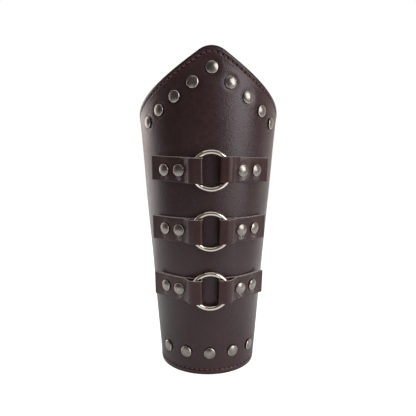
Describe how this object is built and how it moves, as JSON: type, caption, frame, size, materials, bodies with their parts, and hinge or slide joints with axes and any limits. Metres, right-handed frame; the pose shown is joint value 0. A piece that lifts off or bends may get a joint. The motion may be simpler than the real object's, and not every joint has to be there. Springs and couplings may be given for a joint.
{
  "type": "leather bracer",
  "caption": "Tapered leather forearm guard, open at the back with lace eyelets, with riveted straps that hold three wire rings down the front.",
  "frame": {"origin": "centre of the wrist opening, on the plane that the wrist hem stands on", "axes": "+Z along the forearm's axis from wrist to elbow; -Y to the front, where the rings are; +X to the viewer's right"},
  "size_m": [0.1244, 0.1118, 0.266],
  "materials": {
    "panel_leather": "smooth dark brown coated leather with a soft sheen",
    "lining_leather": "matt split leather lining",
    "strap_leather": "smooth reddish dark brown leather with pale cut edges",
    "nickel": "bright nickel plate",
    "pewter": "antique nickel, polished on the high spots",
    "thread": "dark red sewing thread"
  },
  "bodies": {
    "root": {"outer_panel": "panel_leather", "lining": "lining_leather", "elbow_rivet_caps": "pewter", "elbow_rivet_posts": "pewter", "wrist_rivet_caps": "pewter", "wrist_rivet_posts": "pewter", "left_eyelets": "nickel", "right_eyelets": "nickel", "left_eyelet_washers": "nickel", "right_eyelet_washers": "nickel", "upper_left_strap": "strap_leather", "upper_right_strap": "strap_leather", "upper_strap_rivet_caps": "pewter", "upper_strap_rivet_posts": "pewter", "middle_left_strap": "strap_leather", "middle_right_strap": "strap_leather", "middle_strap_rivet_caps": "pewter", "middle_strap_rivet_posts": "pewter", "lower_left_strap": "strap_leather", "lower_right_strap": "strap_leather", "lower_strap_rivet_caps": "pewter", "lower_strap_rivet_posts": "pewter"},
    "upper_ring": {"upper_ring": "nickel"},
    "middle_ring": {"middle_ring": "nickel"},
    "lower_ring": {"lower_ring": "nickel"}
  },
  "joints": [
    {"name": "upper_ring_turn", "type": "hinge", "parent": "root", "child": "upper_ring", "pos_m": [0, -0.06116, 0.17211], "axis": [0, -0.9962, -0.0877], "continuous": true},
    {"name": "middle_ring_turn", "type": "hinge", "parent": "root", "child": "middle_ring", "pos_m": [0, -0.05694, 0.12421], "axis": [0, -0.9962, -0.0877], "continuous": true},
    {"name": "lower_ring_turn", "type": "hinge", "parent": "root", "child": "lower_ring", "pos_m": [0, -0.0526, 0.07481], "axis": [0, -0.9962, -0.0877], "continuous": true}
  ]
}
